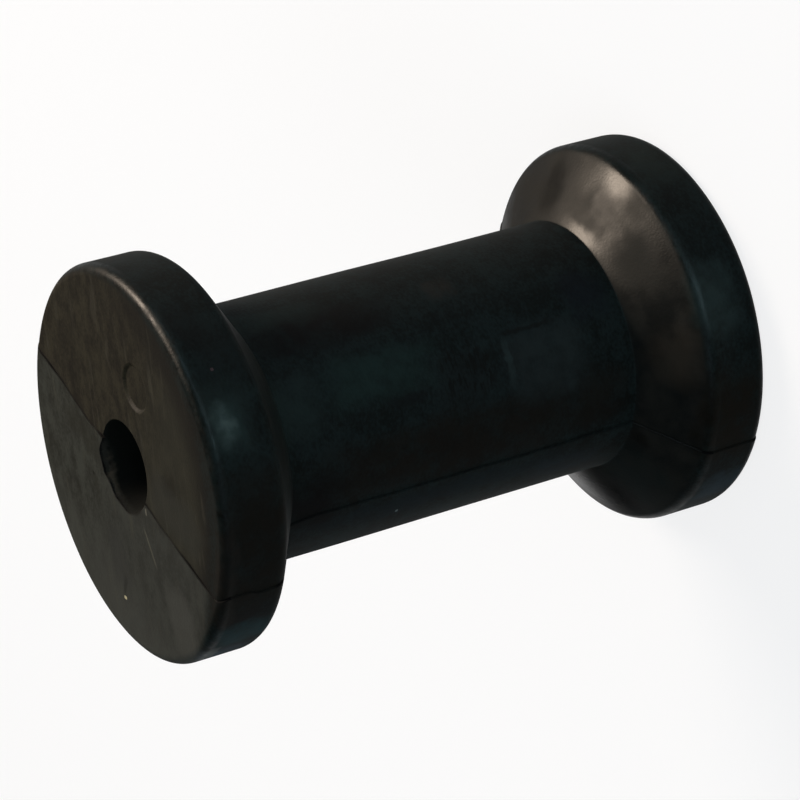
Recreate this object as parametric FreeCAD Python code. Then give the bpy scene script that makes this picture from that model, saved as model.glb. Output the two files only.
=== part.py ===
import FreeCAD, Part
import math
import os

# Keel roller of a boat trailer: a spool moulded in one piece of black rubber.
# It stands on one end. +Z runs along the bore, and the origin is the centre of the lower end face.
# The X-Z plane is where the two halves of the mould met. All sizes are in millimetres.

# Spool
length = 115.0            # from end face to end face
flange_dia = 74.0
barrel_dia = 48.2
bore_dia = 17.0           # for a 16 mm spindle pin

# Each flange is a straight rim, then a cone down to the barrel, which it meets at a crisp corner
rim_width = 12.2          # from the end face to the shoulder
cone_length = 8.6         # along the bore, from the shoulder to the barrel

# Rounded edges of the flanges
end_edge_radius = 2.0     # from end face to rim
shoulder_radius = 2.8     # from rim to cone

# Parting line left by the two-part mould
half_step = 0.25          # the -Y half came out this much larger than the +Y half, all round
parting_bevel = 0.2       # each half's edge is broken by this much, which leaves a shallow V

# Blank recess left by the mould's marking insert, in the +Y half of the upper end face
insert_dia = 9.0
insert_depth = 0.5
insert_offset = 18.4      # from the axis of the bore to the middle of the recess

UP = FreeCAD.Vector(0, 0, 1)
ORIGIN = FreeCAD.Vector(0, 0, 0)


def spool_corners(growth):
    """Corners of the half section as (radius from the axis, height, edge radius), up the outside.

    growth is added to the outside all round, but not to the ends or the bore.
    """
    bore = bore_dia / 2
    flange = flange_dia / 2 + growth
    barrel = barrel_dia / 2 + growth
    flange_depth = rim_width + cone_length
    return [
        (bore, 0, 0),
        (flange, 0, end_edge_radius),
        (flange, rim_width, shoulder_radius),
        (barrel, flange_depth, 0),
        (barrel, length - flange_depth, 0),
        (flange, length - rim_width, shoulder_radius),
        (flange, length, end_edge_radius),
        (bore, length, 0),
    ]


def rounding_arc(before, corner, after, radius):
    """Start, middle and end of the arc that rounds a corner, kept within half of its shorter side."""
    back = before - corner
    ahead = after - corner
    half_angle = back.getAngle(ahead) / 2
    room = min(back.Length, ahead.Length) / 2
    setback = min(radius / math.tan(half_angle), room)
    arc_radius = setback * math.tan(half_angle)
    back.normalize()
    ahead.normalize()
    inward = (back + ahead).normalize()
    to_arc = arc_radius / math.sin(half_angle) - arc_radius
    return corner + back * setback, corner + inward * to_arc, corner + ahead * setback


def section(corners):
    """Face in the X-Z plane through the corners, each rounded by its edge radius or left sharp."""
    points = [FreeCAD.Vector(radius, 0, height) for radius, height, _ in corners]
    edges = []
    reached = points[0]
    for i in range(1, len(points) - 1):
        edge_radius = corners[i][2]
        if edge_radius > 0:
            start, middle, end = rounding_arc(points[i - 1], points[i], points[i + 1], edge_radius)
            edges.append(Part.makeLine(reached, start))
            edges.append(Part.Arc(start, middle, end).toShape())
            reached = end
        else:
            edges.append(Part.makeLine(reached, points[i]))
            reached = points[i]
    edges.append(Part.makeLine(reached, points[-1]))
    edges.append(Part.makeLine(points[-1], points[0]))
    return Part.Face(Part.Wire(edges))


def on_parting_outline(edge):
    """True for an edge in the parting plane that isn't the wall of the bore."""
    box = edge.BoundBox
    slack = parting_bevel / 100
    in_plane = max(abs(box.YMin), abs(box.YMax)) < slack
    middle = edge.valueAt((edge.FirstParameter + edge.LastParameter) / 2)
    at_bore = abs(abs(middle.x) - bore_dia / 2) < slack
    return in_plane and not at_bore


def mould_half(growth, start_deg):
    """Half of the spool, turned through 180 degrees from start_deg, with its parting edges broken."""
    profile = section(spool_corners(growth))
    profile.rotate(ORIGIN, UP, start_deg)
    half = profile.revolve(ORIGIN, UP, 180)
    outline = [edge for edge in half.Edges if on_parting_outline(edge)]
    return half.makeChamfer(parting_bevel, outline)


def insert_recess():
    """The pocket of the marking insert, as the solid to cut away."""
    floor_centre = FreeCAD.Vector(0, insert_offset, length - insert_depth)
    return Part.makeCylinder(insert_dia / 2, insert_depth, floor_centre, UP)


def make_roller():
    plus_y_half = mould_half(0, 0)
    minus_y_half = mould_half(half_step, 180)
    spool = plus_y_half.fuse(minus_y_half).removeSplitter()
    return spool.cut(insert_recess())


os.makedirs("parts", exist_ok=True)
roller = make_roller()
roller.exportStep("parts/roller.step")
print("roller:", len(roller.Solids), "solid, valid:", roller.isValid())
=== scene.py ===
# %% [markdown]
# A keel roller, drawn around its CAD model
# The photograph shows one spool of black rubber, moulded in one piece: two flanges, a barrel between them and
# a bore for a spindle. It hangs in white space with its axis tilted. The CAD model stands on one end, so the
# roller does too, and the camera is turned instead. The frame comes first, and every size is in that frame,
# in millimetres until it goes into a mesh.

import math

import bpy
import numpy as np
from mathutils import Matrix, Vector


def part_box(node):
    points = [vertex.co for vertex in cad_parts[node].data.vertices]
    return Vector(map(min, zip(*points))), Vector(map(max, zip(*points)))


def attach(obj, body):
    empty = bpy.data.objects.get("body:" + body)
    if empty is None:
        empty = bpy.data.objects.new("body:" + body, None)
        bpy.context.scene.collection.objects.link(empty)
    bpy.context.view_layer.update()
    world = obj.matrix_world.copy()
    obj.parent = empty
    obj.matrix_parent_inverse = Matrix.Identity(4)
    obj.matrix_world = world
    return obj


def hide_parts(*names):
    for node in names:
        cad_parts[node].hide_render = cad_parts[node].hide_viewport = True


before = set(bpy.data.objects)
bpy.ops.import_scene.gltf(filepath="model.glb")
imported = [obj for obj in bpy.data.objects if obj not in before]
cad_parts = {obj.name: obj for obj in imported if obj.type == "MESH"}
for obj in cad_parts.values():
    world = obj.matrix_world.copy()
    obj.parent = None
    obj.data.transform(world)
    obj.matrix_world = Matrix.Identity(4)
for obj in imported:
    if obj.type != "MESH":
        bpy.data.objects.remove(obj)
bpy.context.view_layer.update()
MM = 0.001

# %% [markdown]
# Colours are written as sRGB hex values, as a colour picker shows them, while shaders add up light, so each
# value is turned to linear once, here. Another helper adds any kind of shader node with its settings and
# links, so that a material reads as a list of steps.

# %% Colour and node helpers
MIX, RANGE = "ShaderNodeMix", "ShaderNodeMapRange"      # the kinds of node that are used most
MATH, VECTOR_MATH = "ShaderNodeMath", "ShaderNodeVectorMath"


def linear(hex_colour):
    """Linear RGBA of sRGB hex: c / 12.92 below 0.04045, else ((c + 0.055) / 1.055) to the power 2.4."""
    levels = np.array([int(hex_colour[i:i + 2], 16) for i in (1, 3, 5)]) / 255
    low = levels / 12.92
    high = ((levels + 0.055) / 1.055) ** 2.4
    return (*np.where(levels <= 0.04045, low, high), 1.0)


def add(tree, kind, inputs=None, **settings):
    """Add a node. Settings are its properties, and inputs are values or other nodes' outputs, by socket."""
    made = tree.nodes.new(kind)
    for name, value in settings.items():
        setattr(made, name, value)
    for socket, value in (inputs or {}).items():
        if isinstance(value, bpy.types.NodeSocket):
            tree.links.new(value, made.inputs[socket])
        else:
            made.inputs[socket].default_value = value
    return made


def emptied(owner):
    """The node tree of a material or world, without the nodes that it came with."""
    owner.use_nodes = True
    owner.node_tree.nodes.clear()
    return owner.node_tree


def shown(name, data):
    """An object in the scene with this mesh, lamp or camera as its data."""
    made = bpy.data.objects.new(name, data)
    bpy.context.collection.objects.link(made)
    return made


print("mid grey #808080 is linear", round(float(linear("#808080")[0]), 3))

# %% [markdown]
# The camera is placed by what a photographer would note down: where it aims, from which side and how high,
# how far away, and how far it is rolled. The photograph's perspective gave these values. The roll is large,
# because the real roller lay on its side and this one stands up.

# %% Camera
AIM = Vector((1.249, -1.490, 57.958)) * MM
AZIMUTH, ELEVATION, ROLL = (math.radians(angle) for angle in (47.0, 27.4618, 105.633))
DISTANCE = 621.48 * MM
LENS = 149.934  # mm, on the 36 mm sensor


def direction(azimuth, elevation):
    """Unit vector towards an azimuth, counted from +X towards +Y, and an elevation above the floor."""
    flat = math.cos(elevation)
    return Vector((flat * math.cos(azimuth), flat * math.sin(azimuth), math.sin(elevation)))


def aimed(place, target, roll=0.0):
    """Matrix of a camera or lamp at place that looks along its own -Z at target, rolled about that line."""
    back = (place - target).normalized()
    level_right = Vector((0, 0, 1)).cross(back).normalized()
    level_up = back.cross(level_right)
    up = level_up * math.cos(roll) + level_right * math.sin(roll)
    right = up.cross(back)
    turned = Matrix((right, up, back)).transposed().to_4x4()
    return Matrix.Translation(place) @ turned


camera_data = bpy.data.cameras.new("camera")
camera_data.lens = LENS
camera = shown("camera", camera_data)
camera.matrix_world = aimed(AIM + direction(AZIMUTH, ELEVATION) * DISTANCE, AIM, ROLL)
bpy.context.scene.camera = camera
print("camera at", [round(value / MM, 1) for value in camera.location], "mm")

# %% [markdown]
# The floor is plain white paper. A camera should see it as white without more lamps, so for camera, glossy
# and transmission rays most of its brightness is its own, and the rest is lit, which keeps the roller's soft
# shadow. For all other rays it is only lit paper, and throws light back up under the flanges as a real table
# does.

# %% Floor
FLOOR_HALF = 4.0  # m, wide enough to fill low views
OWN_WHITE = 0.8   # share of the seen brightness that needs no lamp


def flat_square(name, half_side):
    """Square in the X-Y plane: x and y each run from -half_side to half_side, z is 0."""
    sides = np.array([-half_side, half_side])
    x, y = np.meshgrid(sides, sides)
    points = np.column_stack([x.ravel(), y.ravel(), np.zeros(4)])
    mesh = bpy.data.meshes.new(name)
    mesh.from_pydata(points.tolist(), [], [(0, 1, 3, 2)])
    return shown(name, mesh)


def seen_ray(tree):
    """1 for camera, glossy and transmission rays, 0 for the rest."""
    path = add(tree, "ShaderNodeLightPath")
    glossy, transmitted = path.outputs["Is Glossy Ray"], path.outputs["Is Transmission Ray"]
    shiny = add(tree, MATH, {0: glossy, 1: transmitted}, operation="ADD")
    total = add(tree, MATH, {0: path.outputs["Is Camera Ray"], 1: shiny.outputs[0]}, operation="ADD",
                use_clamp=True)
    return total.outputs[0]


paper = bpy.data.materials.new("white_paper")
tree = emptied(paper)
lit = add(tree, "ShaderNodeBsdfDiffuse", {"Color": linear("#F0F3F4")})
own = add(tree, "ShaderNodeEmission", {"Color": linear("#FFFFFF"), "Strength": 1.0})
share = add(tree, MATH, {0: seen_ray(tree), 1: OWN_WHITE}, operation="MULTIPLY")
mixed = add(tree, "ShaderNodeMixShader", {0: share.outputs[0], 1: lit.outputs[0], 2: own.outputs[0]})
add(tree, "ShaderNodeOutputMaterial", {"Surface": mixed.outputs[0]})

floor = flat_square("floor", FLOOR_HALF)
floor.data.materials.append(paper)
print("floor side:", 2 * FLOOR_HALF, "m")

# %% [markdown]
# The room has a white sweep low down and a dim ceiling. Where the camera looks past the floor it sees white,
# and so does a shiny surface. Higher up the room darkens, so black rubber stays black: its gloss has little
# to reflect there except the lamps. The even light on matt surfaces is set apart.

# %% World
ROOM_LIGHT = 0.42    # even light on matt surfaces
SWEEP_TOP = 0.07     # sine of the height where the white ends
CEILING_FROM = 0.18  # sine of the height where the dim ceiling begins

world = bpy.data.worlds.new("studio")
tree = emptied(world)
position = add(tree, "ShaderNodeTexCoord")
split = add(tree, "ShaderNodeSeparateXYZ", {0: position.outputs["Generated"]})
rise = add(tree, RANGE, {"Value": split.outputs["Z"], "From Min": SWEEP_TOP, "From Max": CEILING_FROM},
           interpolation_type="SMOOTHSTEP")
room = add(tree, MIX, {0: rise.outputs[0], 6: linear("#FFFFFF"), 7: linear("#64696B")}, data_type="RGBA")
seen = add(tree, "ShaderNodeBackground", {"Color": room.outputs[2], "Strength": 1.0})
felt = add(tree, "ShaderNodeBackground", {"Color": linear("#F4F8FF"), "Strength": ROOM_LIGHT})
mixed = add(tree, "ShaderNodeMixShader", {0: seen_ray(tree), 1: felt.outputs[0], 2: seen.outputs[0]})
add(tree, "ShaderNodeOutputWorld", {"Surface": mixed.outputs[0]})
bpy.context.scene.world = world
bpy.context.scene.view_settings.view_transform = "Standard"
print("world:", world.name)

# %% [markdown]
# The photograph's highlights say where its light came from. One warm lamp, high up on the left, makes the
# bright patch on the far cone and the thin bright line along the near flange's edge. A fainter, cooler light
# from the front reaches the rims and the barrel, and a long cool strip draws the soft line along the barrel.
# A lamp is given by the light that arrives at the roller: its power is pi squared times distance squared
# times level, and at level 1 a facing matt colour shows as it is written. Lamps marked as gloss only add
# nothing to matt colour, so they can be placed by eye.

# %% Lamps
MIDDLE = Vector((0, 0, 57.5)) * MM


def softbox(name, azimuth, elevation, distance, sides, level, colour, gloss_only=False):
    """Lamp of two sides, in m, across and up, that faces the middle of the roller."""
    data = bpy.data.lights.new(name, "AREA")
    data.shape = "RECTANGLE"
    data.size, data.size_y = sides
    data.energy = math.pi ** 2 * distance ** 2 * level
    data.color = linear(colour)[:3]
    lamp = shown(name, data)
    place = MIDDLE + direction(math.radians(azimuth), math.radians(elevation)) * distance
    lamp.matrix_world = aimed(place, MIDDLE)
    lamp.visible_diffuse = not gloss_only
    lamp.visible_camera = False
    print(name, "level", level, "power", round(data.energy, 2), "W")


softbox("warm_key", 160, 47, 1.2, (0.45, 0.45), 0.75, "#FFEBD8")
softbox("warm_key_gloss", 160, 45, 1.2, (0.40, 0.40), 5.4, "#FFEAD4", gloss_only=True)
softbox("cool_fill", 10, 35, 1.5, (0.9, 0.9), 0.28, "#E4F0FF")
softbox("cool_gloss", 53, 10, 1.3, (0.5, 0.5), 0.75, "#CFE8F2", gloss_only=True)
softbox("cool_strip", 92, 27, 1.3, (1.4, 0.25), 0.75, "#CFE4F4", gloss_only=True)

# %% [markdown]
# Photographers keep the edge of a black object dark with a black card, where that edge would mirror a white
# wall. The far cone's lower edge is that dark in the photograph, so a card stands there, out of sight.

# %% Black card
CARD_AZIMUTH, CARD_DISTANCE, CARD_HALF = math.radians(-128), 0.14, 0.095  # the last two in metres

card_paper = bpy.data.materials.new("black_card")
tree = emptied(card_paper)
dark = add(tree, "ShaderNodeBsdfDiffuse", {"Color": linear("#0A0A0A")})
add(tree, "ShaderNodeOutputMaterial", {"Surface": dark.outputs[0]})

card = flat_square("black_card", CARD_HALF)
foot = direction(CARD_AZIMUTH, 0) * CARD_DISTANCE + Vector((0, 0, CARD_HALF))
card.matrix_world = aimed(foot, Vector((0, 0, CARD_HALF)))
card.data.materials.append(card_paper)
card.visible_camera = card.visible_diffuse = card.visible_shadow = False
print("black card stands", CARD_DISTANCE, "m away")

# %% [markdown]
# The spool is a body of revolution, so one closed profile, carried round the axis, gives every face of it.
# The profile is a chain of stations, each with its place, its outward direction and the surface that it
# belongs to. Straight runs are packed closer at both ends, so that the shading of a flat face isn't pulled
# round by its neighbour.

# %% Sizes and profile of the spool
LENGTH = round(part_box("roller")[1][2] / MM, 3)
FLANGE, BARREL, BORE = 37.0, 24.1, 8.5  # radii
RIM, CONE = 12.2, 8.6                   # lengths along the axis
END_ROUND, SHOULDER_ROUND, ROOT_ROUND = 2.0, 2.8, 0.25
HALF_STEP, GROOVE = 0.25, 0.12  # mismatch of the mould halves, and half the groove's width
FACE_STATIONS = 14
END_FACE, EDGE, RIM_FACE, CONE_FACE, BARREL_FACE, BORE_FACE = range(6)


def eased(count):
    """Fractions from 0 to 1, closer together at both ends: (1 - cos(pi t)) / 2."""
    return (1 - np.cos(np.pi * np.linspace(0, 1, count))) / 2


def straight(start, end, count, surface):
    """Stations on a line: start + (end - start) * fraction, facing right of the way they run."""
    start, end = np.array(start, float), np.array(end, float)
    points = start + (end - start) * eased(count)[:, None]
    along = (end - start) / np.linalg.norm(end - start)
    facing = np.tile([along[1], -along[0]], (count, 1))
    return points, facing, np.full(count, surface)


def rounded(centre, radius, start_deg, end_deg, count, surface):
    """Stations on an arc without its two ends: centre + radius * (cos a, sin a). A hollow arc runs back."""
    angle = np.radians(np.linspace(start_deg, end_deg, count + 2)[1:-1])
    out = np.column_stack([np.cos(angle), np.sin(angle)])
    points = np.array(centre, float) + radius * out
    facing = out if end_deg > start_deg else -out
    return points, facing, np.full(count, surface)


slope = math.degrees(math.atan2(FLANGE - BARREL, CONE))  # turn from the rim's line to the cone's line
shoulder_back = SHOULDER_ROUND * math.tan(math.radians(slope / 2))
root_back = ROOT_ROUND * math.tan(math.radians(slope / 2))
down_cone = np.array([-math.sin(math.radians(slope)), math.cos(math.radians(slope))])
shoulder_low = np.array([FLANGE, RIM])
root_low = np.array([BARREL, RIM + CONE])


def flange_half():
    """Lower half of the outside, from the bore's mouth to halfway up the barrel."""
    cone_start = shoulder_low + down_cone * shoulder_back
    cone_end = root_low - down_cone * root_back
    barrel_start = root_low + np.array([0, root_back])
    return [
        straight((BORE, 0), (FLANGE - END_ROUND, 0), FACE_STATIONS, END_FACE),
        rounded((FLANGE - END_ROUND, END_ROUND), END_ROUND, -90, 0, 9, EDGE),
        straight((FLANGE, END_ROUND), (FLANGE, RIM - shoulder_back), 10, RIM_FACE),
        rounded((FLANGE - SHOULDER_ROUND, RIM - shoulder_back), SHOULDER_ROUND, 0, slope, 8, EDGE),
        straight(cone_start, cone_end, 14, CONE_FACE),
        rounded((BARREL + ROOT_ROUND, RIM + CONE + root_back), ROOT_ROUND, 180 + slope, 180, 3, BARREL_FACE),
        straight(barrel_start, (BARREL, LENGTH / 2), 30, BARREL_FACE),
    ]


low = [np.concatenate(parts) for parts in zip(*flange_half())]
high = [low[0][::-1] * [1, -1] + [0, LENGTH], low[1][::-1] * [1, -1], low[2][::-1]]
print("stations on half of the outside:", len(low[0]))

# %% [markdown]
# The upper end face is the one that the photograph shows, so its run is made anew with more stations: close
# ones where the marking insert has left its round recess, and close ones again at the bore's mouth. The last
# station meets the first, so the mesh has no open edge.

# %% Upper face and bore
INSERT_RADIUS, INSERT_DEPTH, INSERT_OFFSET = 4.5, 0.5, 18.4
CLOSE_FROM, CLOSE_TO = 23.4, 13.4  # radii between which the stations are close together
LIP_REACH = 14.0                   # radius out to which the face follows the bore's uneven mouth
TO_MOUTH = np.array([0, .12, .25, .38, .5, .62, .72, .8, .87, .93, .97, 1.0])

outside = len(high[0]) - FACE_STATIONS  # stations before the upper end face
face_radii = np.concatenate([
    FLANGE - END_ROUND - (FLANGE - END_ROUND - CLOSE_FROM) * eased(FACE_STATIONS)[:-1],
    np.linspace(CLOSE_FROM, CLOSE_TO, 42)[:-1],
    CLOSE_TO - (CLOSE_TO - BORE) * TO_MOUTH,
])
face = (np.column_stack([face_radii, np.full(len(face_radii), LENGTH)]),
        np.tile([0.0, 1.0], (len(face_radii), 1)), np.full(len(face_radii), END_FACE))
depths = np.concatenate([[.1, .25, .45, .7, 1.0, 1.35, 1.75, 2.2, 2.7, 3.3, 4, 5, 6.5, 8.5, 11, 14],
                         np.linspace(18, LENGTH - 1, 16), [LENGTH - 0.4, LENGTH - 0.1]])
wall = (np.column_stack([np.full(len(depths), BORE), LENGTH - depths]),
        np.tile([-1.0, 0.0], (len(depths), 1)), np.full(len(depths), BORE_FACE))

points, facing, surface = (np.concatenate([below[:-1], above[:outside], upper, inner])
                           for below, above, upper, inner in zip(low, high, face, wall))
stations = len(points)
print("stations in the whole profile:", stations)

# %% [markdown]
# Round the axis the columns aren't even either. The mould's two halves met in the X-Z plane, and the line
# between them is a groove a few tenths of a millimetre wide, so columns run beside it at fixed distances,
# whatever the radius. Elsewhere they are 2 degrees apart, and closer across the recess.

# %% Columns round the axis
BESIDE_SEAM = np.array([0.02, 0.1, 0.2, 0.3, 0.5, 0.8])  # mm from the parting plane
BRIDGE = np.array([[0.3, 0.62]])  # two more columns, as shares of the way to the first free one
FIRST_FREE, APART = 8.0, 2.0          # degrees
RECESS_FROM, RECESS_TO = 74.0, 106.0  # degrees


def free_angles():
    """Angles of the free columns of the +Y half, in degrees: APART, and 0.6 apart across the recess."""
    before = np.arange(FIRST_FREE, RECESS_FROM - 1, APART)
    across = np.linspace(RECESS_FROM, RECESS_TO, 54)
    return np.concatenate([before, across, 180.0 - before[::-1]])


def beside_seam(radius):
    """Angles of the columns next to the seam, away from it: arcsin(distance / radius), then the bridge."""
    close = np.arcsin(BESIDE_SEAM[None, :] / radius[:, None])
    bridge = close[:, -1:] + (math.radians(FIRST_FREE) - close[:, -1:]) * BRIDGE
    return np.concatenate([close, bridge], axis=1)


def column_angles(radius):
    """Angles of all columns at each station, in radians, from the seam's +X end right round."""
    plus = np.tile(np.radians(free_angles()), (len(radius), 1))
    minus = np.tile(np.radians(np.arange(FIRST_FREE, 180.5 - FIRST_FREE, APART)), (len(radius), 1))
    seam = beside_seam(radius)
    return np.concatenate([seam, plus, np.pi - seam[:, ::-1],
                           np.pi + seam, np.pi + minus, 2 * np.pi - seam[:, ::-1]], axis=1)


even = column_angles(points[:, 0])
columns = even.shape[1]
half_columns = 2 * (len(BESIDE_SEAM) + BRIDGE.size) + len(free_angles())
print("columns:", columns, "triangles:", 2 * columns * stations)

# %% [markdown]
# The real seam isn't quite straight: on the upper face it runs a millimetre or two beside the axis. A groove
# pressed into finished columns would cut across them in steps, so the columns next to the seam are turned
# along with it. Two tables say how far it strays at its two ends, from the bore outwards and down over the
# edge.

# %% The seam's stray
FORGOTTEN = 60.0    # degrees from the seam where columns no longer follow its stray
STRAY_FADES = 10.0  # mm down the bore
STRAY_AT = [8.5, 14, 20, 28, 34.5, 38.5, 42.5, 44.5, 50]  # mm: radius plus depth below the upper face
EAST_STRAY = [-2.3, -2.4, -2.3, -2.1, -1.75, 0.2, 0.3, -0.5, 0.0]
WEST_STRAY = [-0.8, -1.35, -1.2, -1.0, -1.1, 0.0, 0.0, 0.0, 0.0]


def smooth(value):
    """Smooth step of a value: 3 t squared - 2 t cubed, with t kept between 0 and 1."""
    t = np.clip(value, 0, 1)
    return t * t * (3 - 2 * t)


def wander(height, radius):
    """Small stray of the seam from its plane everywhere, in mm: two slow sines of height and radius."""
    return 0.08 * np.sin(0.21 * height + 0.35 * radius) + 0.05 * np.sin(0.53 * height - 0.9 * radius + 1.0)


def carried(turn, radius, stray, seam_at):
    """Turn of each column with the seam: arcsin(stray / radius), eased to 0 at FORGOTTEN degrees from it."""
    apart = np.degrees(np.abs(np.angle(np.exp(1j * (turn - seam_at)))))
    return np.arcsin(stray / radius)[:, None] * smooth(1 - apart / FORGOTTEN)


in_bore = surface == BORE_FACE
along_face = np.where(in_bore, BORE, points[:, 0] + LENGTH - points[:, 1])
dies_down = np.where(in_bore, np.clip(1 - (LENGTH - points[:, 1]) / STRAY_FADES, 0, 1), 1.0)
east, west = (dies_down * (wander(points[:, 1], points[:, 0]) + np.interp(along_face, STRAY_AT, table))
              for table in (EAST_STRAY, WEST_STRAY))
angle = even + carried(even, points[:, 0], east, 0.0) - carried(even, points[:, 0], west, np.pi)
print("largest stray of the seam:", round(float(np.abs([east, west]).max()), 2), "mm")

# %% [markdown]
# Now the flaws that make it a moulding. The first is the bore's mouth, torn on one side where the rubber let
# go of the core pin. A ragged tool shape could cut it, but would leave no clean columns. Here the mouth's own
# points move outwards by a table read round the circle, the face around them gives way, and the wall below
# stands upright first and then comes back to the bore within about two millimetres. A wall that sloped all
# the way would catch the lamp, and the real one is in its own shadow.

# %% The torn mouth
TORN_AT = [0, 150, 184, 196, 203, 209, 218, 227, 234, 241, 250, 258, 274, 290, 300, 312, 326, 360]
TORN_BACK = [.06, .06, .25, 1.15, 1.75, 1.8, 1.5, 1.62, 1.0, .62, .7, .85, .62, .85, .5, .42, .15, .06]
TORN_DEPTH = [.3, .3, .8, 1.7, 2.1, 2.2, 2.3, 2.1, 1.7, 1.4, 1.2, 1.1, 1.1, .8, .8, .7, .4, .3]
STEEP = 1.3                  # how much of the torn wall stands upright before it comes back to the bore
RAGGED, CRUMBS = 0.12, 0.12  # share by which the tear's depth varies, and mm by which its wall is rough

radius, height, out_r, out_z, kind = (np.tile(values[:, None], (1, columns))
                                      for values in (*points.T, *facing.T, surface))
on_top = (kind == END_FACE) & (height > LENGTH / 2)

degrees = np.degrees(angle) % 360
mouth, tear_depth = (np.interp(degrees, TORN_AT, table) for table in (TORN_BACK, TORN_DEPTH))
tear_depth = tear_depth * (1 + RAGGED * np.sin(29 * angle) * np.sin(11 * angle + 1))
pull = (LIP_REACH - radius) / (LIP_REACH - BORE) * mouth
radius = np.where(on_top & (radius < LIP_REACH), radius + pull, radius)
depth_down = LENGTH - height
fade = smooth(STEEP * (1 - depth_down / tear_depth)) * (kind == BORE_FACE)
crumbs = np.sin(23 * angle + 5 * depth_down) * np.sin(9 * angle - 7 * depth_down + 1) * CRUMBS
radius = radius + (mouth + crumbs * smooth(mouth)) * fade
print("the mouth is torn back by up to", max(TORN_BACK), "mm")

# %% [markdown]
# One mould half sat a quarter of a millimetre further out than the other, so the seam is a step as well as a
# groove. Round the side the groove is an even V. On the end faces one bank is upright and the other slopes
# gently, because a V's bank would mirror the lamp there and the seam would read as a light line. A groove of
# one even depth looks drawn on, so a table makes it come and go. The marking insert left a blank round
# recess, and every face has shrunk inwards by a few hundredths of a millimetre as it cooled. Groove, recess
# and shrinkage are pushes along each point's outward direction, so they add up.

# %% Half step, groove, recess and shrinkage
FACE_WIDTH, FACE_DEPTH = 0.56, 0.3  # mm, of the groove on the end faces where it is plainest
FAINTEST = 0.2                      # share of that depth where it is least plain
PLAIN_AT = [-36, -33, -30, -27, -24, -12, -10, -8.5, 8.5, 11, 14, 19, 22, 25, 30.5, 32.5, 36]  # mm along X
HOW_PLAIN = [.5, .85, 1, .65, .45, .4, .8, 1, .7, .5, .3, .25, .6, .95, .95, .45, .3]
NOTCH, NOTCH_REACH = 0.3, 2.0     # mm added where it meets the torn side of the bore, and how far out
STEP_FROM = 20.0                  # radius on the end faces from which the half step grows
SHRINK, RECESS_EDGE = 0.02, 0.45  # mm


def shrink(x, y, z):
    """Hollows left by cooling, in mm: three long sine waves through space, made positive, times SHRINK."""
    waves = (np.sin(0.19 * x + 0.11 * z + 0.5) + np.sin(0.23 * y - 0.07 * z + 1.9)
             + np.sin(0.13 * x - 0.17 * y + 0.15 * z))
    return SHRINK * (waves + 3)


minus_y = (np.arange(columns) >= half_columns)[None, :] & np.ones((stations, 1), bool)
grows = np.where(kind == END_FACE, smooth((radius - STEP_FROM) / (FLANGE - END_ROUND - STEP_FROM)), 1.0)
radius = radius + HALF_STEP * minus_y * np.where(kind == BORE_FACE, 0.0, grows)

to_plus_y = points[:, :1] * np.sin(even)  # mm from the seam, negative on the -Y half
even_v = GROOVE * np.clip(1 - np.abs(to_plus_y) / GROOVE, 0, 1)
notch = NOTCH * on_top * (np.cos(even) < 0) * smooth(1 - (points[:, :1] - BORE) / NOTCH_REACH)
plain = np.interp(points[:, :1] * np.sign(np.cos(even)), PLAIN_AT, HOW_PLAIN)
one_bank = (FACE_DEPTH * (FAINTEST + (1 - FAINTEST) * plain) + notch) * (to_plus_y > 0)
one_bank = one_bank * np.clip(1 - to_plus_y / (FACE_WIDTH + notch), 0, 1)
groove = np.select([kind == END_FACE, kind != BORE_FACE], [one_bank, even_v], 0.0)
x, y = radius * np.cos(angle), radius * np.sin(angle)
recess = np.hypot(x, y - INSERT_OFFSET)
inset = (groove + shrink(x, y, height) * (kind != BORE_FACE)
         + on_top * INSERT_DEPTH * smooth((INSERT_RADIUS - recess) / RECESS_EDGE))

radius = radius - out_r * inset
height = height - out_z * inset
print("deepest inset:", round(float(inset.max()), 3), "mm")

# %% [markdown]
# At both mouths the groove has lowered the face below the first stations of the bore's wall. They are moved
# along, each a little further in than the one before, so that the wall never folds back over itself.

# %% The bore follows its mouths
WALL_STEP = 0.015  # mm
lip = np.flatnonzero(~in_bore)[-1]
down = np.arange(1, stations - lip)[:, None]
height[lip + 1:] = np.minimum(height[lip + 1:], height[lip] - WALL_STEP * down)
height[lip + 1:] = np.maximum(height[lip + 1:], height[0] + WALL_STEP * down[::-1])
x, y = radius * np.cos(angle), radius * np.sin(angle)
print("the bore's wall runs between", [round(float(height[i].mean()), 2) for i in (lip, -1)], "mm")

# %% [markdown]
# The grid of points becomes one mesh. Both of its directions are closed loops, so point (i, j) joins its
# neighbours with indices that wrap round, and every face is a quad. Smooth shading runs over nearly all of
# it: the close stations at each edge keep the edges crisp. Only the upright bank on the end faces is flat, so
# that its shading doesn't run out over the face beside it.

# %% The mesh
def closed_grid(name, x, y, z, flat):
    """Mesh from arrays of stations by columns, closed both ways: quad (i, j), (i, j+1), (i+1, j+1), (i+1, j).
    A quad is shaded flat where flat is true at its (i, j)."""
    rows, cols = x.shape
    index = np.arange(rows * cols).reshape(rows, cols)
    right = np.roll(index, -1, axis=1)
    above = np.roll(index, -1, axis=0)
    corner = np.roll(above, -1, axis=1)
    quads = np.stack([index, right, corner, above], axis=-1).reshape(-1, 4)
    mesh = bpy.data.meshes.new(name)
    mesh.vertices.add(rows * cols)
    mesh.vertices.foreach_set("co", np.stack([x, y, z], axis=-1).ravel())
    mesh.loops.add(quads.size)
    mesh.loops.foreach_set("vertex_index", quads.ravel())
    mesh.polygons.add(len(quads))
    mesh.polygons.foreach_set("loop_start", np.arange(len(quads)) * 4)
    mesh.update(calc_edges=True)
    mesh.polygons.foreach_set("use_smooth", ~flat.ravel())
    mesh.validate()
    return shown(name, mesh)


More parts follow.
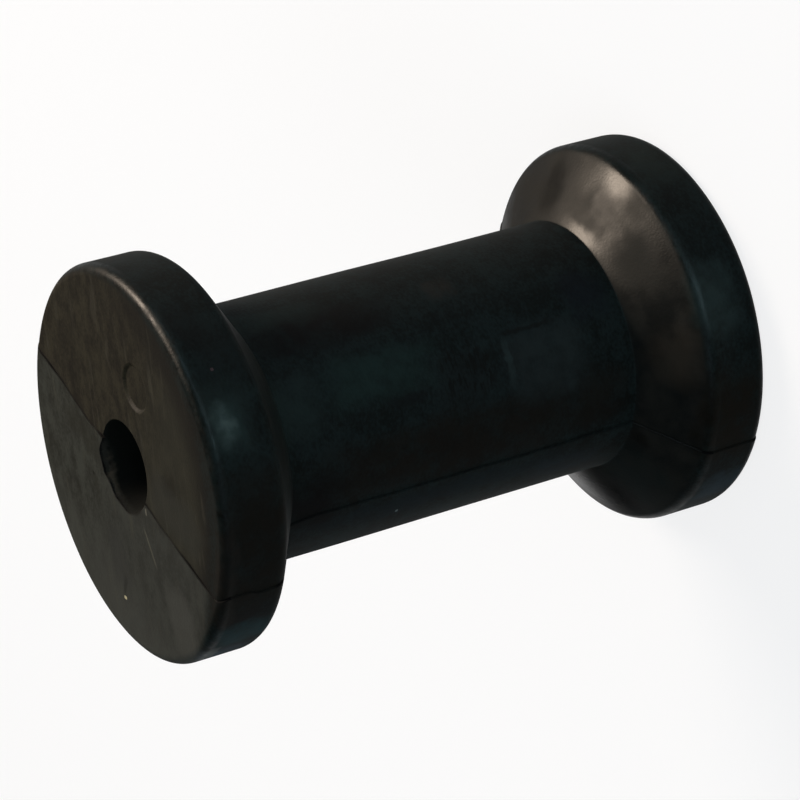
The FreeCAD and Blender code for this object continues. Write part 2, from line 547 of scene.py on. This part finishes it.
upright_bank = (kind == END_FACE) & np.isin(np.arange(columns), [half_columns - 1, columns - 1])
roller = closed_grid("rubber_roller", x * MM, y * MM, height * MM, upright_bank)
corners = np.stack([x, y, height], axis=-1)
across_columns = np.roll(corners, -1, axis=1)
across_both = np.roll(across_columns, -1, axis=0)
twice_face = np.cross(across_columns, across_both) + np.cross(across_both, np.roll(corners, -1, axis=0))
volume = np.sum(corners * twice_face) / 6
print("volume inside the faces:", round(float(volume) / 1000, 2), "cm3, positive when they point outwards")

# %% [markdown]
# Black rubber isn't one black: its colour depends on how a surface left the mould and what has settled on it.
# Each weight is a number from 0 to 1 at every point, worked out from its place and stored on the mesh as an
# attribute, which the material asks for by name. Image masks would do the same, but they need an unwrapped
# mesh. The first weights only say which surface a point is on.

# %% A weight for every point
def store(name, values):
    """Keep one number for every point of the mesh, under a name that the Attribute node can read."""
    layer = roller.data.attributes.new(name, "FLOAT", "POINT")
    layer.data.foreach_set("value", np.asarray(values, np.float32).ravel())


def share_of(kinds, blur=2):
    """1 on the stations of some surfaces and 0 on the others, averaged over a few so that edges blend."""
    on = np.isin(surface, kinds).astype(float)
    kernel = np.ones(2 * blur + 1) / (2 * blur + 1)
    wrapped = np.concatenate([on[-blur:], on, on[:blur]])
    return np.tile(np.convolve(wrapped, kernel, "valid")[:, None], (1, columns))


LESS_BROWN = 0.4  # the near cone was rubbed less than the far one
NEAR_END = 6.0    # mm from an end face
store("cone", share_of([CONE_FACE]) * np.where(height < LENGTH / 2, 1.0, LESS_BROWN))
store("bore", share_of([BORE_FACE], 1))
store("edge", share_of([EDGE], 1) * ((height < LENGTH / 2) | (height > LENGTH - NEAR_END)))
store("minus_half", minus_y)
print("points of each surface:", np.bincount(surface) * columns)

# %% [markdown]
# The end faces carry a pale film with its own outline: on one side it stops short of the edge and fades away
# gently, and on the other it runs over it. The table gives how far it reaches at each angle, along the face
# and on down the rim. Where the roller was handled, the film is thinner towards the edge.

# %% Where the film lies
FILM_AT = [0, 30, 60, 75, 90, 105, 120, 150, 180, 210, 300, 320, 335, 347, 360]
FILM_REACH = [33.2, 33.2, 33.9, 34.6, 35.0, 35.3, 35.8, 37.2, 38.8, 40.5, 41.5, 39.9, 37.9, 35.0, 33.2]
FILM_FADES, SOFTER = 1.3, 2.2  # mm over which its outline fades, and how much more than that towards +X
FILM_RIPPLE = 0.15  # mm by which its outline wavers
HANDLED_AT, THIN_FROM, THIN_OVER = math.radians(25), 25.5, 7.0  # then mm from the axis, and mm

from_end = np.minimum(height, LENGTH - height)
out_and_down = points[:, :1] + from_end
film_edge = np.interp(degrees, FILM_AT, FILM_REACH) + FILM_RIPPLE * np.sin(11 * angle) * np.sin(4 * angle)
film_fades = FILM_FADES + SOFTER * smooth(2 * np.cos(angle) - 1)
on_end = np.isin(kind, [END_FACE, EDGE, RIM_FACE]) & (from_end < NEAR_END)
store("film", on_end * smooth((film_edge - out_and_down) / film_fades))

toward_edge = smooth((out_and_down - THIN_FROM) / THIN_OVER) * smooth(0.3 + 1.1 * np.cos(angle - HANDLED_AT))
store("thin_film", on_end * toward_edge * ~minus_y)
print("film reaches", min(FILM_REACH), "to", max(FILM_REACH), "mm from the axis, over the edge")

# %% [markdown]
# Dirt stays in the parting groove and beside it, and the same weight paints the groove's shade, reaching
# further towards the far end of the barrel. It comes and goes along the end face as the groove does, and is
# weaker down the rims, the cones and the barrel. The torn part of the mouth has its own weight, with a thin
# line of painted shade round its lip, where the torn wall drops away into its own shadow.

# %% Where dirt, painted shade and torn rubber lie
# painted shade: a thin dark line round the torn lip, by angle round the axis
LIP_SHADE_AT = [0, 180, 192, 250, 262, 322, 332, 360]
LIP_SHADE = [.0, .0, .6, .7, .9, .9, 0, 0]
LIP_SHADE_WIDTH = 0.6                # mm
# the seam weight is dirt in the groove together with the groove's painted shade
DIRT_AND_SHADE_FULL, DIRT_AND_SHADE_CENTRE = 0.15, 0.2  # mm: half width of the full dirt, and its middle on the end faces
TORN_FROM = 0.3                     # mm that the mouth is torn back where the wall counts as torn

reach_on_end = 0.55 + 0.2 * smooth((13 - radius) / 4) + 0.2 * smooth((radius - 20) / 3)
reach_on_barrel = 0.4 + 0.4 * smooth((56 - height) / 30)
dirt_and_shade_reach = np.select([kind == END_FACE, kind == CONE_FACE, kind == BARREL_FACE],
                       [reach_on_end, 0.7, reach_on_barrel], 0.4)
from_dirt_and_shade = np.abs(to_plus_y - DIRT_AND_SHADE_CENTRE * (kind == END_FACE))
dirt_and_shade_depth = np.select([kind == END_FACE, kind == EDGE, kind == RIM_FACE, kind == BORE_FACE],
                       [0.3 + 0.7 * plain, 1.0, 0.2, 0.0], 0.35)
store("seam", smooth((dirt_and_shade_reach - from_dirt_and_shade) / (dirt_and_shade_reach - DIRT_AND_SHADE_FULL)) * dirt_and_shade_depth)

# painted shade round the torn lip, kept in one weight with the torn rubber
painted_lip_shade = on_top * smooth(1 - (points[:, :1] - BORE) / LIP_SHADE_WIDTH)
painted_lip_shade = painted_lip_shade * np.interp(degrees, LIP_SHADE_AT, LIP_SHADE)
store("torn_and_lip_shade", np.maximum(fade * smooth(mouth / TORN_FROM), painted_lip_shade))
print("dirt reaches up to", round(float(dirt_and_shade_reach.max()), 2), "mm beside the seam")

# %% [markdown]
# The rubber is a natural and synthetic blend filled with carbon black, pressed hot in a steel mould and left
# as it came out. The black takes nearly all the light, and what is left is a satin gloss. A painted picture
# would show its pixels and its edges. Here every pattern is a formula in millimetres of the roller, laid
# through space, so that it runs over the edges as a stain does.

# %% Moulded rubber: places and weights
WEIGHTS = ("film", "thin_film", "minus_half", "seam", "torn_and_lip_shade", "cone", "bore", "edge")

rubber = bpy.data.materials.new("moulded_black_rubber")
tree = emptied(rubber)
place = add(tree, "ShaderNodeTexCoord")
mm = add(tree, VECTOR_MATH, {0: place.outputs["Object"], 1: (1 / MM,) * 3}, operation="MULTIPLY").outputs[0]
lies = {name: add(tree, "ShaderNodeAttribute", attribute_name=name).outputs["Fac"] for name in WEIGHTS}
print("weights in the material:", len(lies))

# %% [markdown]
# Patterns. Blots are noise of a given size in millimetres, along axes that can be turned, which makes round
# blots, wiping marks or strokes of the same thing. Cut off smoothly between two levels they are patches, and
# a sum of coarse, middle and fine ones looks like handling and dust. The sizes were read off the photograph
# against the 74 mm flange.

# %% Patterns in millimetres
ROUND_BARREL = (0, 0, math.radians(135))  # first axis runs round the side that faces the camera
WIPED = (0, 0, math.radians(-63))         # first axis runs along the wiping marks on the upper end face
LEVEL = (0, 0, 0)


def blots(sizes, turn=LEVEL, detail=2.0):
    """Noise from 0 to 1 with blots of sizes, in mm: noise at the place turned back and divided by sizes."""
    within = add(tree, "ShaderNodeMapping", {"Vector": mm, "Rotation": turn, "Scale": sizes},
                 vector_type="TEXTURE").outputs[0]
    return add(tree, "ShaderNodeTexNoise", {"Vector": within, "Scale": 1.0, "Detail": detail}).outputs["Fac"]


def patches(low, high, sizes, turn=LEVEL, detail=2.0, least=0.0):
    """1 in blots and least between them: their noise, smoothed from low to high."""
    return add(tree, RANGE, {"Value": blots(sizes, turn, detail), "From Min": low, "From Max": high,
               "To Min": least}, interpolation_type="SMOOTHSTEP").outputs[0]


def mottled(low, high, *layers):
    """0 to 1, smoothed from low to high, of the sum of several noises: (share, sizes, turn, detail) each."""
    total = 0.0
    for share, sizes, turn, detail in layers:
        total = add(tree, MATH, {0: blots(sizes, turn, detail), 1: share, 2: total},
                    operation="MULTIPLY_ADD").outputs[0]
    return add(tree, RANGE, {"Value": total, "From Min": low, "From Max": high},
               interpolation_type="SMOOTHSTEP").outputs[0]


def strayed(size, amount):
    """Places in mm, pushed about by noise: in blots of size mm, each way by about amount mm."""
    within = add(tree, "ShaderNodeMapping", {"Vector": mm, "Scale": (size,) * 3}, vector_type="TEXTURE")
    push = add(tree, "ShaderNodeTexNoise", {"Vector": within.outputs[0], "Scale": 1.0, "Detail": 4.0})
    centred = add(tree, VECTOR_MATH, {0: push.outputs["Color"], 1: (0.5,) * 3}, operation="SUBTRACT")
    return add(tree, VECTOR_MATH, {0: centred.outputs[0], 1: (4 * amount,) * 3, 2: mm},
               operation="MULTIPLY_ADD").outputs[0]


ragged = strayed(5.0, 1.3)
uneven = strayed(1.5, 0.35)
broken = patches(0.3, 0.6, (3.5,) * 3, detail=4.0, least=0.55)
print("nodes so far:", len(tree.nodes))

# %% [markdown]
# Marks. A stain or a nick is an ellipsoid somewhere on the surface: inside it the mark is full, and towards
# its outline it fades. Read at places that noise has pushed about, its tidy outline becomes a ragged one. A
# place on the side is given as an engineer's drawing would: angle round the axis, radius and height.

# %% Marks
def at(degrees, radius, height):
    """Place in mm from its angle round the axis, radius and height."""
    turn = math.radians(degrees)
    return (radius * math.cos(turn), radius * math.sin(turn), height)


def mark(centre, sizes, turn_deg, edge, source):
    """1 in the middle of an ellipsoid of half lengths sizes and 0 outside it: the root of x^4 + y^4 + z^4,
    each counted in half lengths, smoothed from 1 down to edge squared."""
    inside = add(tree, "ShaderNodeMapping", {"Vector": source, "Location": centre, "Scale": sizes,
                 "Rotation": (0, 0, math.radians(turn_deg))}, vector_type="TEXTURE").outputs[0]
    squared = add(tree, VECTOR_MATH, {0: inside, 1: inside}, operation="MULTIPLY")
    reach = add(tree, VECTOR_MATH, {0: squared.outputs[0]}, operation="LENGTH").outputs["Value"]
    return add(tree, RANGE, {"Value": reach, "From Min": 1.0, "From Max": edge ** 2},
               interpolation_type="SMOOTHSTEP").outputs[0]


def fading(centre, sizes, turn_deg, source):
    """1 at a place, falling evenly to 0 at the half lengths sizes from it."""
    inside = add(tree, "ShaderNodeMapping", {"Vector": source, "Location": centre, "Scale": sizes,
                 "Rotation": (0, 0, math.radians(turn_deg))}, vector_type="TEXTURE").outputs[0]
    return add(tree, "ShaderNodeTexGradient", {"Vector": inside}, gradient_type="SPHERICAL").outputs["Fac"]


def stained(colour, shade, strength, *amounts, label=""):
    """A colour with a stain over it: mixed towards shade by strength times the amounts. Label names it."""
    for amount in amounts:
        strength = add(tree, MATH, {0: amount, 1: strength}, operation="MULTIPLY").outputs[0]
    return add(tree, MIX, {0: strength, 6: colour, 7: linear(shade)}, data_type="RGBA",
               label=label).outputs[2]


print("a place on the near rim:", [round(value, 1) for value in at(47, FLANGE, 108)], "mm")

# %% [markdown]
# Clean rubber. Barrel and rims are faintly blue-green. The real skin's finest specks are a tenth of a
# millimetre, less than a pixel, so the finest layer here is drawn 0.5 to 0.7 mm wide. The cones were rubbed
# by the mould as it opened, and are a shade browner, in soft blots of 8 and 2.5 mm.

# %% Clean skin
skin = mottled(0.4, 0.6, (0.35, (8, 8, 13), ROUND_BARREL, 3.0), (0.25, (3, 3, 2.2), ROUND_BARREL, 3.0),
               (0.4, (0.7, 0.7, 0.5), ROUND_BARREL, 3.0))
base = add(tree, MIX, {0: skin, 6: linear("#020605"), 7: linear("#0A1414")}, data_type="RGBA").outputs[2]

rubbed = mottled(0.35, 0.65, (0.7, (8, 8, 8), LEVEL, 1.0), (0.3, (2.5, 2.5, 2.5), LEVEL, 2.0))
cone_tone = add(tree, MIX, {0: rubbed, 6: linear("#0A0D0C"), 7: linear("#141512")},
                data_type="RGBA").outputs[2]
base = add(tree, MIX, {0: lies["cone"], 6: base, 7: cone_tone}, data_type="RGBA").outputs[2]
print("nodes so far:", len(tree.nodes))

# %% [markdown]
# Stains. The photograph shows where the rubber was touched, wiped and splashed. On the barrel lie a paler
# patch with a straight upper border and a field of fine dark strokes, and the rims and the far cone have
# their own stains. Other rows are painted light and shade that the gloss would catch: painted teal and bluish
# sheen on the barrel and the rims, painted grey, teal and blue reflections at the rims' lower ends, brown
# painted dark reflections low down on the barrel and the rims, a painted dark reflection on the barrel's
# upper side, painted shade on the far cone's lower side, and painted shade by the near cone and at the
# barrel's far end.
# Each row is one of them, read at places pushed about by a millimetre or so and broken up by blots of 3.5 mm,
# so that it has no drawn outline.

# %% Soft stains and painted light on barrel, rims and far cone
SOFT_STAINS = [  # what it is, degrees, radius, height, half sizes (in, round, along), colour, strength
    # painted sheen: teal bands on the barrel that stand for the cool light its gloss mirrors from the front
    ("painted teal sheen, middle", 55, BARREL, 73.0, (6, 6.0, 15), "#0F1F1D", 0.7),
    ("painted teal sheen, near end", 50, BARREL, 91.0, (6, 7.5, 6.5), "#111D1C", 0.65),
    # painted dark reflection: a dark band on the barrel's upper side, where its gloss faces the dim ceiling
    ("painted dark reflection, upper side", 84, BARREL, 80.0, (6, 5.6, 18), "#020202", 0.95),
    ("blue shadow, far end", 66, BARREL, 27.5, (6, 6.5, 5.5), "#060B10", 0.75),
    ("brown smear on top", 88, BARREL, 54.0, (6, 3.5, 4), "#201C18", 0.4),
    # painted sheen near the top of the barrel
    ("painted sheen on top, near end", 97, BARREL, 88.0, (6, 4.0, 14), "#121C1A", 0.5),
    ("dark ground of the strokes", 42, BARREL, 57.0, (6, 6.5, 8), "#080C0C", 0.4),
    ("paler patch", 42, BARREL, 39.0, (6, 8.0, 10), "#121819", 0.6),
    # painted dark reflections, brown, just above the seam, where the gloss would mirror the roller's shadow
    ("brown painted dark reflection, low down", 16, BARREL, 60.0, (6, 7.5, 36), "#080603", 0.85),
    ("brown painted dark reflection, far end", 19, BARREL, 28.0, (6, 7.0, 7), "#080704", 0.7),
    ("shade by the near cone", 6, BARREL, 91.0, (6, 7.5, 9), "#010101", 0.9),
    # painted reflection: a bluish band under the barrel's seam, as its gloss would mirror the room's low side
    ("painted blue reflection under the seam", -9, BARREL, 62.0, (6, 3.2, 34), "#030D10", 0.75),
    ("painted blue sheen under the seam", -16, BARREL, 34.0, (6, 4.0, 10), "#0B161B", 0.5),
    # painted sheen on the near rim, where it faces the camera
    ("near rim, painted sheen", 52, FLANGE, 109.5, (4, 9.0, 6), "#121C1B", 0.6),
    ("near rim, dark by the edge", 80, FLANGE, 110.5, (4, 6.0, 4), "#040505", 0.7),
    ("near rim, dark upper side", 70, FLANGE, 106.0, (4, 8.0, 8), "#060807", 0.5),
    # painted dark reflections on the near rim: brown low down, and dark under the seam
    ("near rim, brown painted dark reflection", 28, FLANGE, 108.0, (4, 9.0, 9), "#080603", 0.6),
    ("near rim, brown painted dark reflection, low down", 10, FLANGE, 108.0, (4, 16.0, 9), "#070603", 0.9),
    ("near rim, painted dark reflection under the seam", -14, FLANGE, 108.0, (4, 7.0, 8), "#020303", 0.9),
    # painted reflection: the near rim's lower end, pale teal, where its gloss mirrors the white floor
    ("near rim, painted teal reflection, lower end", -18, FLANGE, 108.5, (4, 5.5, 7), "#122D30", 0.52),
    ("near edge, brown", 6, 36.6, 114.2, (3.5, 17.0, 2.4), "#100F0C", 0.85),
    # painted grey reflections at the near rim's lower end
    ("near rim, painted grey reflection at the end", -36, FLANGE, 110.0, (4, 8.0, 7), "#2A343A", 0.85),
    ("near rim, painted grey reflection, further round", -58, FLANGE, 105.5, (4, 10.0, 6), "#363F44", 0.8),
    # the middle of the near rim's painted sheen
    ("near rim, middle of the painted sheen", 50.5, FLANGE, 110.0, (4, 5.4, 3.6), "#1A2827", 0.6),
    # painted sheen on the far rim
    ("far rim, painted teal sheen", 48, FLANGE, 8.5, (4, 9.0, 6), "#1D2A2A", 0.6),
    ("far rim, painted sheen on top", 98, FLANGE, 6.0, (4, 9.0, 6), "#131B18", 0.5),
    # painted dark reflection on the far rim, brown
    ("far rim, brown painted dark reflection", 10, FLANGE, 8.0, (4, 13.0, 9), "#080602", 0.95),
    # painted blue reflection at the far rim's lower end
    ("far rim, painted blue reflection at the end", -18, FLANGE, 5.5, (4, 6.0, 6), "#1B282E", 0.6),
    ("far cone, smudge", 127, 29.5, 17.0, (6, 4.6, 5), "#050504", 0.6),
    ("far cone, brown", 32, 30.5, 17.0, (6, 8.0, 6), "#1E1B15", 0.6),
    ("far cone, blot by the seam", -6, 26.0, 19.5, (2.6, 2.2, 2.4), "#050402", 0.7),
    ("far cone, teal", -30, 29.0, 17.0, (8, 10.0, 6), "#0B1413", 0.6),
    # painted shade: the far cone's lower side darkened where its gloss turns to the dark side of the room
    ("far cone, lower side", -52, 30.0, 17.0, (8, 9.0, 7), "#010202", 0.9),
]
for what, degree, distance, level, sizes, shade, strength in SOFT_STAINS:
    spot = mark(at(degree, distance, level), sizes, degree, 0.2, ragged)
    base = stained(base, shade, strength, spot, broken, label=what)
print("soft stains:", len(SOFT_STAINS))

# %% [markdown]
# A few stains are crisper: the middle of the paler patch with its streak and its dark border, and a dark
# wipe.
# A pale mark on the near edge is a painted highlight. The painted sheen on the near rim, a soft light spot,
# is spotty, so its fading outline is multiplied by patches of 1.8 mm. The strokes are noise stretched to 3 mm
# by
# 1 mm and cut off hard, and they are kept to one field in the middle of the barrel.

# %% Crisp stains, painted highlight, painted sheen and strokes
CRISP_STAINS = [
    ("paler patch, body", 41, BARREL, 38.8, (6, 8.6, 10.6), "#151E1E", 0.4),
    ("paler patch, light streak", 45, BARREL, 46.8, (6, 5.4, 0.9), "#1D2929", 0.5),
    ("dark wipe across", 41, BARREL, 69.5, (6, 1.4, 5.6), "#030606", 0.7),
    ("dark upper border of the patch", 58, BARREL, 41.5, (6, 0.6, 7.5), "#030504", 0.8),
    # painted highlight: a pale grey mark at the near edge's lower end
    ("painted pale highlight on the near edge", -31, FLANGE, 112.6, (4, 5.0, 1.6), "#4C4E4B", 0.7),
]
for what, degree, distance, level, sizes, shade, strength in CRISP_STAINS:
    spot = mark(at(degree, distance, level), sizes, degree, 0.1, uneven)
    base = stained(base, shade, strength, spot, broken, label=what)

# painted sheen: a soft pale teal spot on the near rim, broken into spots, that stands for a highlight
spotty_sheen = patches(0.35, 0.62, (1.8,) * 3, detail=3.0, least=0.4)
base = stained(base, "#3E4E4D", 0.62, fading(at(51, FLANGE, 110.9), (6, 4.6, 2.6), 51, ragged), spotty_sheen)

strokes = patches(0.49, 0.58, (3.0, 1.0, 0.7), ROUND_BARREL, detail=3.0)
base = stained(base, "#020403", 0.9, mark(at(47, BARREL, 55.5), (6, 7, 8.5), 47, 0.3, ragged), strokes)
print("crisp stains:", len(CRISP_STAINS))

# %% [markdown]
# The film is mould release and bloom, the wax and sulphur that come to the surface of rubber in storage. It
# is brownish on one mould half and greyer on the other, wiped about along one direction, and thinner towards
# the edge where the roller was handled. Three drifts change its tone slowly across the face.

# %% Film on the end faces
film_mottle = mottled(0.37, 0.63, (0.35, (9, 4, 20), WIPED, 3.0), (0.35, (3.6, 2.4, 6), WIPED, 3.0),
                      (0.3, (0.6, 0.5, 2), WIPED, 3.0))
brown, grey = (add(tree, MIX, {0: film_mottle, 6: linear(deep), 7: linear(pale)}, data_type="RGBA").outputs[2]
               for deep, pale in (("#13120D", "#28261C"), ("#1D1F1B", "#30332E")))

axes = add(tree, "ShaderNodeSeparateXYZ", {0: mm})
to_east, past_bore, to_south = (
    add(tree, RANGE, {"Value": axes.outputs[axis], "From Min": start, "From Max": end},
        interpolation_type="SMOOTHSTEP").outputs[0]
    for axis, start, end in (("X", -2, 14), ("X", -12, 2), ("Y", -16, -34)))
brown = stained(brown, "#262720", 0.6, to_east)
grey = stained(grey, "#2F312E", 0.4, past_bore)
grey = stained(grey, "#3A3C38", 0.5, to_south)

film = add(tree, MIX, {0: lies["minus_half"], 6: brown, 7: grey}, data_type="RGBA").outputs[2]
film = stained(film, "#0F0F0D", 0.9, lies["thin_film"])
film = stained(film, "#3C3B31", 0.35, patches(0.54, 0.7, (12, 1.4, 20), WIPED, detail=3.0),
               patches(0.42, 0.6, (9,) * 3, least=0.14))
print("nodes so far:", len(tree.nodes))

# %% [markdown]
# On the film lie a few marks of handling: dark smudges where it was rubbed off, and pale wipes and clouds
# where it was pushed together. They are as flat as the film, so they only change its colour.

# %% Marks on the film
FILM_MARKS = [  # what it is, x, y, half length, half width, turn, colour, strength
    ("smudge east of the bore", 15.4, 7.8, 3.8, 2.5, 40, "#12110D", 0.6),
    ("smudge above the nick", 5.0, -24.6, 2.8, 0.9, 100, "#12110D", 0.5),
    ("grey cloud", 2.0, -21.0, 7.0, 4.0, -50, "#2B2D2B", 0.5),
    ("dark cloud west of the bore", -16.0, -5.0, 9.0, 3.5, 0, "#1E1F19", 0.5),
    ("long pale wipe", -17.0, 24.0, 5.5, 1.6, -63, "#35332A", 0.4),
    ("short pale wipe", -10.5, 18.5, 4.0, 1.0, -63, "#35332A", 0.35),
    ("greyer beside the seam", 18.5, 4.0, 11.5, 6.0, 5, "#292B27", 0.5),
    ("paler towards the lower edge", 26.0, -16.0, 9.0, 6.0, -50, "#3E3F3B", 0.45),
]
for what, east_at, north_at, long, wide, turn_deg, shade, strength in FILM_MARKS:
    spot = mark((east_at, north_at, LENGTH), (long, wide, 3), turn_deg, 0.4, ragged)
    film = stained(film, shade, strength, spot, label=what)
base = add(tree, MIX, {0: lies["film"], 6: base, 7: film}, data_type="RGBA").outputs[2]
print("marks on the film:", len(FILM_MARKS))

# %% [markdown]
# A few nicks are small and sharp: a scratch, a pale chip near the edge, specks of dust. The bore is bare dark
# rubber. The torn part of its mouth is rough and dark, and a shade paler low down. Just under the lip it is
# paler again: painted light, where the room's light reaches the torn wall. Dirt and painted shade lie in the
# groove of the parting line, so the seam reads as a dark line that comes and goes.

# %% Nicks, bore, torn mouth and seam
NICKS = [  # what it is, place, half sizes, turn, colour, strength
    ("scratch", (12.0, -9.8, LENGTH), (4.4, 0.32, 2), -37, "#57564A", 0.45),
    ("chip", (5.7, -27.9, LENGTH), (0.6, 0.4, 1), 20, "#A8A282", 0.85),
    ("crumb by the bore", (8.9, -3.6, LENGTH), (0.8, 0.36, 1), -60, "#6E6C60", 0.5),
    ("dark speck", (-10.5, -10.8, LENGTH), (0.42, 0.42, 1), 0, "#0C0C0A", 0.8),
    ("speck on the rim", at(65.5, FLANGE, 109.4), (0.4, 0.35, 0.35), 65, "#4A3A3D", 0.45),
    ("speck under the seam", at(-13.4, BARREL, 71.1), (0.5, 0.4, 0.3), -13, "#5A6464", 0.6),
]
for what, centre, sizes, turn_deg, shade, strength in NICKS:
    base = stained(base, shade, strength, mark(centre, sizes, turn_deg, 0.6, mm), label=what)

base = stained(base, "#0A0D0A", 1.0, lies["bore"])
crumbly = patches(0.4, 0.6, (1.2,) * 3)
torn_tone = add(tree, MIX, {0: crumbly, 6: linear("#080908"), 7: linear("#101110")},
                data_type="RGBA").outputs[2]
low_lip = mark((4.6, -8.2, LENGTH), (4.6, 3.4, 3), 0, 0.5, mm)
# painted light just under the torn lip, where the room's light reaches the torn wall
painted_light_under_lip = mark((-6.5, -6.0, LENGTH - 0.8), (6, 6, 0.7), 0, 0.4, uneven)
torn_tone = stained(torn_tone, "#10110F", 1.0, low_lip)
torn_tone = stained(torn_tone, "#262722", 0.65, painted_light_under_lip)
# the torn weight holds the torn rubber and the painted shade round its lip
base = add(tree, MIX, {0: lies["torn_and_lip_shade"], 6: base, 7: torn_tone}, data_type="RGBA").outputs[2]
# the seam darkens: dirt in the groove and the groove's painted shade together
base = stained(base, "#020202", 1.0, lies["seam"], patches(0.3, 0.6, (3,) * 3, least=0.75))
print("nicks:", len(NICKS))

# %% [markdown]
# Gloss. Barrel and rims are matt from the mould's blasted steel. The cones are smoother, with a burnished
# spot near the shoulder and another along the barrel, and those two catch the lamp. Film, dirt, torn rubber
# and the bore are dull. Rubber's roughness is about 0.5 to 0.7, and that is where these values start.

# %% Gloss
POLISHED = [  # what it is, degrees, radius, height, half sizes, strength
    ("far cone, spot by the shoulder", 96, 35.0, 13.5, (5, 7.0, 5), 0.85),
    ("far cone, spot by the barrel", 98, 24.6, 20.5, (2.4, 10, 2.4), 0.85),
    ("far cone, beside the first spot", 108, 32.5, 15.2, (5, 4.0, 4.0), 0.35),
    ("far cone, lower side", -62, 31.0, 16.5, (13, 30, 13), 1.0),
    ("near edge", 60, 36.4, 114.0, (3, 9, 3), 0.5),
    ("far shoulder", 42, 36.0, 11.0, (4, 18, 6), 0.6),
]
DULL = [
    ("far cone, smudge", 127, 30.0, 16.5, (9, 7, 8), 1.0),
    ("far cone, upper side", 147, 31.0, 16.0, (9, 12, 10), 0.5),
    ("far cone, between the spots", 95, 30.3, 16.7, (5, 7, 3.5), 0.2),
    ("far cone, facing the camera", 72, 29.5, 16.5, (7, 6, 6), 0.6),
]

satin = add(tree, MIX, {0: rubbed, 2: 0.41, 3: 0.57}).outputs[0]
rough = add(tree, MIX, {0: lies["cone"], 2: 0.72, 3: satin}).outputs[0]
worn = add(tree, MIX, {0: patches(0.3, 0.7, (1.5,) * 3), 2: 0.36, 3: 0.52}).outputs[0]
rough = add(tree, MIX, {0: lies["edge"], 2: rough, 3: worn}).outputs[0]
for polish, source, rows in ((0.27, uneven, POLISHED), (0.8, ragged, DULL)):
    for what, degree, distance, level, sizes, strength in rows:
        amount = add(tree, RANGE, {"Value": fading(at(degree, distance, level), sizes, degree, source),
                     "From Max": 0.8, "To Max": strength}, interpolation_type="SMOOTHSTEP").outputs[0]
        rough = add(tree, MIX, {0: amount, 2: rough, 3: polish}, label=what).outputs[0]
for name, value in (("film", 0.62), ("bore", 1.0), ("torn_and_lip_shade", 1.0), ("seam", 0.95)):
    rough = add(tree, MIX, {0: lies[name], 2: rough, 3: value}).outputs[0]
print("polished and dull spots:", len(POLISHED) + len(DULL))

# %% [markdown]
# Bumps. Rubber pulls in unevenly as it cools, which leaves waves a few hundredths of a millimetre deep. Over
# them lies the mould's grain: a tenth of a millimetre across on the real roller, finer than a pixel here, so
# it is drawn half a millimetre across. Rubber isn't a metal, and its IOR is about 1.52. Carbon black and dust
# leave its skin very little clear reflection, so the specular level is far below the usual half: the
# photographed rims stay nearly black where they turn away in front of white.

# %% Bumps and the finished shader
WAVE_SIZE, WAVE_HEIGHT = (5,) * 3, 0.03 * MM  # sizes in mm, heights in m
GRAIN_SIZE, GRAIN_HEIGHT = (0.5,) * 3, 0.03 * MM
RUBBER_IOR, SPECULAR_LEVEL = 1.52, 0.035
waves = add(tree, "ShaderNodeBump", {"Height": blots(WAVE_SIZE, detail=1.0), "Strength": 1.0,
            "Distance": WAVE_HEIGHT})
grain = add(tree, "ShaderNodeBump", {"Height": blots(GRAIN_SIZE), "Strength": 1.0, "Distance": GRAIN_HEIGHT,
            "Normal": waves.outputs[0]})
shader = add(tree, "ShaderNodeBsdfPrincipled", {"Base Color": base, "Roughness": rough, "Metallic": 0.0,
             "IOR": RUBBER_IOR, "Specular IOR Level": SPECULAR_LEVEL, "Normal": grain.outputs[0]})
add(tree, "ShaderNodeOutputMaterial", {"Surface": shader.outputs[0]})
roller.data.materials.append(rubber)
print("nodes in the rubber:", len(tree.nodes))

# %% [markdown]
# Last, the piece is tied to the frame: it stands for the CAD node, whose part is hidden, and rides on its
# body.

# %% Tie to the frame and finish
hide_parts("roller")
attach(roller, "root")
